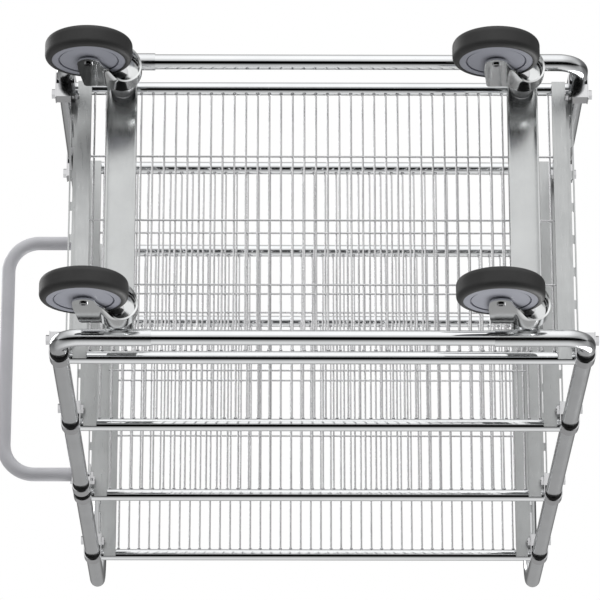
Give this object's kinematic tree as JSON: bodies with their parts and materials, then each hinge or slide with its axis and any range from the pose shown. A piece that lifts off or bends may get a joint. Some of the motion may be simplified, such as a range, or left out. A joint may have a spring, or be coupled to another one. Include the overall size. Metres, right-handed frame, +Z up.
{
  "type": "wire mesh shelf trolley",
  "caption": "Tall tube-framed trolley with open wire-mesh shelves, a push handle at one end and swivelling rubber-tyred castors.",
  "frame": {"origin": "on the floor, under the middle of the whole object's box", "axes": "+Z up, X along the trolley with the push handle at +X, Y across it with the front at -Y"},
  "size_m": [0.9126, 0.4624, 1.4925],
  "materials": {
    "frame_chrome": "bright zinc-plated and chromed bent tube",
    "base_tube_chrome": "bright chromed straight tube",
    "castor_rail_zinc": "zinc-plated pressed channel with a fine brushed grain",
    "shelf_tube_chrome": "bright chromed straight tube",
    "end_rail_zinc": "zinc-plated folded sheet",
    "wire_zinc": "bright zinc-plated welded wire",
    "clamp_zinc": "zinc-plated pressed strap",
    "liner_plastic": "black moulded plastic",
    "fastener_zinc": "zinc-plated hex fasteners",
    "handle_paint": "light grey powder coat, satin",
    "plug_steel": "plain turned steel",
    "castor_steel": "bright zinc-plated pressed steel",
    "castor_head_zinc": "satin zinc-plated turned steel",
    "hub_plastic": "moulded lavender-grey nylon",
    "tyre_rubber": "dark grey rubber"
  },
  "bodies": {
    "trolley": {"end_frame_handle_side": "frame_chrome", "end_frame_plain_side": "frame_chrome", "base_tube_front": "base_tube_chrome", "base_tube_rear": "base_tube_chrome", "castor_rail_handle_side": "castor_rail_zinc", "castor_rail_plain_side": "castor_rail_zinc", "shelf_1_front_tube": "shelf_tube_chrome", "shelf_1_rear_tube": "shelf_tube_chrome", "shelf_1_rail_handle_side": "end_rail_zinc", "shelf_1_rail_plain_side": "end_rail_zinc", "shelf_1_mesh": "wire_zinc", "shelf_2_front_tube": "shelf_tube_chrome", "shelf_2_rear_tube": "shelf_tube_chrome", "shelf_2_rail_handle_side": "end_rail_zinc", "shelf_2_rail_plain_side": "end_rail_zinc", "shelf_2_mesh": "wire_zinc", "shelf_3_front_tube": "shelf_tube_chrome", "shelf_3_rear_tube": "shelf_tube_chrome", "shelf_3_rail_handle_side": "end_rail_zinc", "shelf_3_rail_plain_side": "end_rail_zinc", "shelf_3_mesh": "wire_zinc", "shelf_4_front_tube": "shelf_tube_chrome", "shelf_4_rear_tube": "shelf_tube_chrome", "shelf_4_rail_handle_side": "end_rail_zinc", "shelf_4_rail_plain_side": "end_rail_zinc", "shelf_4_mesh": "wire_zinc", "shelf_clamps": "clamp_zinc", "handle_clamps": "clamp_zinc", "clamp_saddles": "clamp_zinc", "clamp_liners": "liner_plastic", "clamp_bolts": "fastener_zinc", "clamp_nuts": "fastener_zinc", "handle_bolts": "fastener_zinc", "castor_bolts": "fastener_zinc", "castor_nuts": "fastener_zinc", "handle": "handle_paint", "handle_plugs": "plug_steel", "castor_1_head": "castor_head_zinc", "castor_2_head": "castor_head_zinc", "castor_3_head": "castor_head_zinc", "castor_4_head": "castor_head_zinc"},
    "castor_1_yoke": {"castor_1_fork": "castor_steel", "castor_1_axle": "fastener_zinc"},
    "castor_1_wheel": {"castor_1_hub": "hub_plastic", "castor_1_tyre": "tyre_rubber"},
    "castor_2_yoke": {"castor_2_fork": "castor_steel", "castor_2_axle": "fastener_zinc"},
    "castor_2_wheel": {"castor_2_hub": "hub_plastic", "castor_2_tyre": "tyre_rubber"},
    "castor_3_yoke": {"castor_3_fork": "castor_steel", "castor_3_axle": "fastener_zinc"},
    "castor_3_wheel": {"castor_3_hub": "hub_plastic", "castor_3_tyre": "tyre_rubber"},
    "castor_4_yoke": {"castor_4_fork": "castor_steel", "castor_4_axle": "fastener_zinc"},
    "castor_4_wheel": {"castor_4_hub": "hub_plastic", "castor_4_tyre": "tyre_rubber"}
  },
  "joints": [
    {"name": "castor_1_swivel", "type": "hinge", "parent": "trolley", "child": "castor_1_yoke", "pos_m": [0.23275, -0.182, 0.155], "axis": [0, 0, 1], "continuous": true},
    {"name": "castor_1_spin", "type": "hinge", "parent": "castor_1_yoke", "child": "castor_1_wheel", "pos_m": [0.27675, -0.182, 0.0625], "axis": [0, 1, 0], "continuous": true},
    {"name": "castor_2_swivel", "type": "hinge", "parent": "trolley", "child": "castor_2_yoke", "pos_m": [0.23275, 0.182, 0.155], "axis": [0, 0, 1], "continuous": true},
    {"name": "castor_2_spin", "type": "hinge", "parent": "castor_2_yoke", "child": "castor_2_wheel", "pos_m": [0.27675, 0.182, 0.0625], "axis": [0, 1, 0], "continuous": true},
    {"name": "castor_3_swivel", "type": "hinge", "parent": "trolley", "child": "castor_3_yoke", "pos_m": [-0.34925, -0.182, 0.155], "axis": [0, 0, 1], "continuous": true},
    {"name": "castor_3_spin", "type": "hinge", "parent": "castor_3_yoke", "child": "castor_3_wheel", "pos_m": [-0.30525, -0.182, 0.0625], "axis": [0, 1, 0], "continuous": true},
    {"name": "castor_4_swivel", "type": "hinge", "parent": "trolley", "child": "castor_4_yoke", "pos_m": [-0.34925, 0.182, 0.155], "axis": [0, 0, 1], "continuous": true},
    {"name": "castor_4_spin", "type": "hinge", "parent": "castor_4_yoke", "child": "castor_4_wheel", "pos_m": [-0.30525, 0.182, 0.0625], "axis": [0, 1, 0], "continuous": true}
  ]
}
